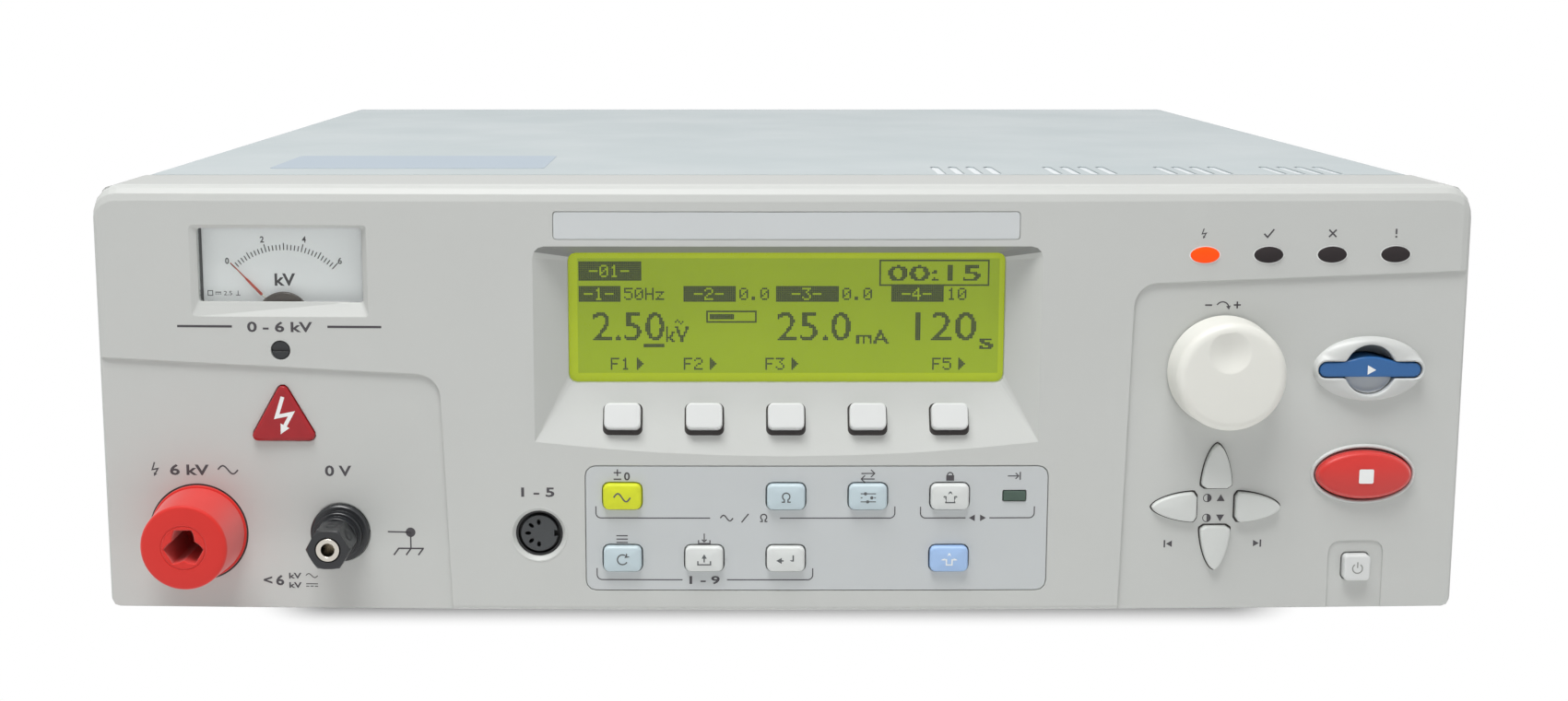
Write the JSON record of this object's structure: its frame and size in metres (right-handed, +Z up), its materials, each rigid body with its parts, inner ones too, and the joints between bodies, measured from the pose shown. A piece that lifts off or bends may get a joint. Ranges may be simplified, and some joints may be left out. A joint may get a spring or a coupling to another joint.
{
  "type": "hipot tester",
  "caption": "Bench AC withstanding-voltage tester: wide metal case, bowed plastic front with display, keys, knob, moving-coil meter and high-voltage outlet.",
  "frame": {"origin": "middle of the outer box, on the surface that the feet stand on", "axes": "+X to the right of someone who faces the front, +Y towards the back, +Z up"},
  "size_m": [0.43, 0.42, 0.1475],
  "materials": {
    "bezel": "satin",
    "cover": "satin",
    "chassis": "zinc plated",
    "white_plastic": "satin",
    "knob": "satin",
    "grey_key": "satin",
    "clear_key": "translucent",
    "blue_key": "translucent",
    "lit_key": "translucent, lit",
    "film": "satin",
    "window": "clear",
    "display": "lit display",
    "dial": "matte",
    "needle": "satin",
    "red": "glossy",
    "blue": "satin",
    "orange_lens": "lit lens",
    "dark_lens": "glossy",
    "black": "satin",
    "rubber": "matte",
    "steel": "nickel plated",
    "brass": "bright",
    "board": "circuit board",
    "core": "varnished"
  },
  "bodies": {
    "case": {"front_bezel": "bezel", "top_cover": "cover", "bottom_chassis": "chassis", "rear_panel": "cover", "display_window": "window", "lcd_module": "display", "key_overlay": "film", "remote_lamp": "dark_lens", "lamp_lens_1": "orange_lens", "lamp_lens_2": "dark_lens", "lamp_lens_3": "dark_lens", "lamp_lens_4": "dark_lens", "meter_body": "dial", "meter_window": "window", "hv_lamp_lens": "red", "hv_terminal_body": "red", "hv_contact": "brass", "low_terminal_base": "black", "low_terminal_stem": "steel", "remote_socket": "black", "encoder": "steel", "start_guard": "white_plastic", "stop_guard": "white_plastic", "front_board": "board", "main_board": "board", "hv_transformer": "core", "fan_frame": "black", "ac_inlet": "black", "interface_connector": "steel", "foot_front_left": "rubber", "foot_front_right": "rubber", "foot_rear_left": "rubber", "foot_rear_right": "rubber"},
    "meter_needle": {"meter_needle": "needle"},
    "zero_adjuster": {"zero_adjuster": "black"},
    "low_terminal_cap": {"low_terminal_cap": "black"},
    "entry_knob": {"entry_knob": "knob"},
    "start_lever": {"start_lever": "blue"},
    "stop_button": {"stop_button": "red"},
    "power_button": {"power_button": "white_plastic"},
    "fan_rotor": {"fan_rotor": "black"},
    "tilt_leg_left": {"tilt_leg_left": "rubber"},
    "tilt_leg_right": {"tilt_leg_right": "rubber"},
    "key_acw": {"key_acw": "lit_key"},
    "key_ir": {"key_ir": "clear_key"},
    "key_system": {"key_system": "clear_key"},
    "key_local": {"key_local": "grey_key"},
    "key_auto": {"key_auto": "clear_key"},
    "key_recall": {"key_recall": "grey_key"},
    "key_enter": {"key_enter": "grey_key"},
    "key_shift": {"key_shift": "blue_key"},
    "soft_key_1": {"soft_key_1": "white_plastic"},
    "soft_key_2": {"soft_key_2": "white_plastic"},
    "soft_key_3": {"soft_key_3": "white_plastic"},
    "soft_key_4": {"soft_key_4": "white_plastic"},
    "soft_key_5": {"soft_key_5": "white_plastic"},
    "arrow_key_up": {"arrow_key_up": "white_plastic"},
    "arrow_key_left": {"arrow_key_left": "white_plastic"},
    "arrow_key_down": {"arrow_key_down": "white_plastic"},
    "arrow_key_right": {"arrow_key_right": "white_plastic"}
  },
  "joints": [
    {"name": "soft_key_1_press", "type": "slide", "parent": "case", "child": "soft_key_1", "axis": [0, 0.9196, -0.3929], "range_m": [0, 0.0008], "stiffness_N_per_m": 300, "springref_m": -0.0005},
    {"name": "soft_key_2_press", "type": "slide", "parent": "case", "child": "soft_key_2", "axis": [0, 0.9196, -0.3929], "range_m": [0, 0.0008], "stiffness_N_per_m": 300, "springref_m": -0.0005},
    {"name": "soft_key_3_press", "type": "slide", "parent": "case", "child": "soft_key_3", "axis": [0, 0.9196, -0.3929], "range_m": [0, 0.0008], "stiffness_N_per_m": 300, "springref_m": -0.0005},
    {"name": "soft_key_4_press", "type": "slide", "parent": "case", "child": "soft_key_4", "axis": [0, 0.9196, -0.3929], "range_m": [0, 0.0008], "stiffness_N_per_m": 300, "springref_m": -0.0005},
    {"name": "soft_key_5_press", "type": "slide", "parent": "case", "child": "soft_key_5", "axis": [0, 0.9196, -0.3929], "range_m": [0, 0.0008], "stiffness_N_per_m": 300, "springref_m": -0.0005},
    {"name": "key_acw_press", "type": "slide", "parent": "case", "child": "key_acw", "axis": [0, 1, 0], "range_m": [0, 0.0008], "stiffness_N_per_m": 300, "springref_m": -0.0005},
    {"name": "key_ir_press", "type": "slide", "parent": "case", "child": "key_ir", "axis": [0, 1, 0], "range_m": [0, 0.0008], "stiffness_N_per_m": 300, "springref_m": -0.0005},
    {"name": "key_system_press", "type": "slide", "parent": "case", "child": "key_system", "axis": [0, 1, 0], "range_m": [0, 0.0008], "stiffness_N_per_m": 300, "springref_m": -0.0005},
    {"name": "key_local_press", "type": "slide", "parent": "case", "child": "key_local", "axis": [0, 1, 0], "range_m": [0, 0.0008], "stiffness_N_per_m": 300, "springref_m": -0.0005},
    {"name": "key_auto_press", "type": "slide", "parent": "case", "child": "key_auto", "axis": [0, 1, 0], "range_m": [0, 0.0008], "stiffness_N_per_m": 300, "springref_m": -0.0005},
    {"name": "key_recall_press", "type": "slide", "parent": "case", "child": "key_recall", "axis": [0, 1, 0], "range_m": [0, 0.0008], "stiffness_N_per_m": 300, "springref_m": -0.0005},
    {"name": "key_enter_press", "type": "slide", "parent": "case", "child": "key_enter", "axis": [0, 1, 0], "range_m": [0, 0.0008], "stiffness_N_per_m": 300, "springref_m": -0.0005},
    {"name": "key_shift_press", "type": "slide", "parent": "case", "child": "key_shift", "axis": [0, 1, 0], "range_m": [0, 0.0008], "stiffness_N_per_m": 300, "springref_m": -0.0005},
    {"name": "arrow_key_up_press", "type": "slide", "parent": "case", "child": "arrow_key_up", "axis": [0, 1, 0], "range_m": [0, 0.0008], "stiffness_N_per_m": 300, "springref_m": -0.0005},
    {"name": "arrow_key_left_press", "type": "slide", "parent": "case", "child": "arrow_key_left", "axis": [0, 1, 0], "range_m": [0, 0.0008], "stiffness_N_per_m": 300, "springref_m": -0.0005},
    {"name": "arrow_key_down_press", "type": "slide", "parent": "case", "child": "arrow_key_down", "axis": [0, 1, 0], "range_m": [0, 0.0008], "stiffness_N_per_m": 300, "springref_m": -0.0005},
    {"name": "arrow_key_right_press", "type": "slide", "parent": "case", "child": "arrow_key_right", "axis": [0, 1, 0], "range_m": [0, 0.0008], "stiffness_N_per_m": 300, "springref_m": -0.0005},
    {"name": "power_button_press", "type": "slide", "parent": "case", "child": "power_button", "axis": [0, 1, 0], "range_m": [0, 0.003], "stiffness_N_per_m": 300, "springref_m": -0.001},
    {"name": "start_lever_press", "type": "slide", "parent": "case", "child": "start_lever", "axis": [0, 1, 0], "range_m": [0, 0.002], "stiffness_N_per_m": 400, "springref_m": -0.0008},
    {"name": "stop_button_press", "type": "slide", "parent": "case", "child": "stop_button", "axis": [0, 1, 0], "range_m": [0, 0.002], "stiffness_N_per_m": 400, "springref_m": -0.0008},
    {"name": "low_terminal_cap_open", "type": "slide", "parent": "case", "child": "low_terminal_cap", "axis": [0, -1, 0], "range_m": [0, 0.004]},
    {"name": "entry_knob_turn", "type": "hinge", "parent": "case", "child": "entry_knob", "pos_m": [0.1382, -0.1972, 0.0897], "axis": [0, 1, 0], "continuous": true},
    {"name": "meter_needle_swing", "type": "hinge", "parent": "case", "child": "meter_needle", "pos_m": [-0.1567, -0.1847, 0.1096], "axis": [0, 1, 0], "range_deg": [0, 102], "stiffness_Nm_per_rad": 0.0004},
    {"name": "zero_adjuster_turn", "type": "hinge", "parent": "case", "child": "zero_adjuster", "pos_m": [-0.1569, -0.1887, 0.0961], "axis": [0, 1, 0], "range_deg": [-60, 60]},
    {"name": "fan_rotor_spin", "type": "hinge", "parent": "case", "child": "fan_rotor", "pos_m": [-0.15, 0.1892, 0.078], "axis": [0, 1, 0], "continuous": true},
    {"name": "tilt_leg_left_swing", "type": "hinge", "parent": "case", "child": "tilt_leg_left", "pos_m": [-0.16, -0.11296, 0.0062], "axis": [-1, 0, 0], "range_deg": [0, 100]},
    {"name": "tilt_leg_right_swing", "type": "hinge", "parent": "case", "child": "tilt_leg_right", "pos_m": [0.16, -0.11296, 0.0062], "axis": [-1, 0, 0], "range_deg": [0, 100]}
  ]
}
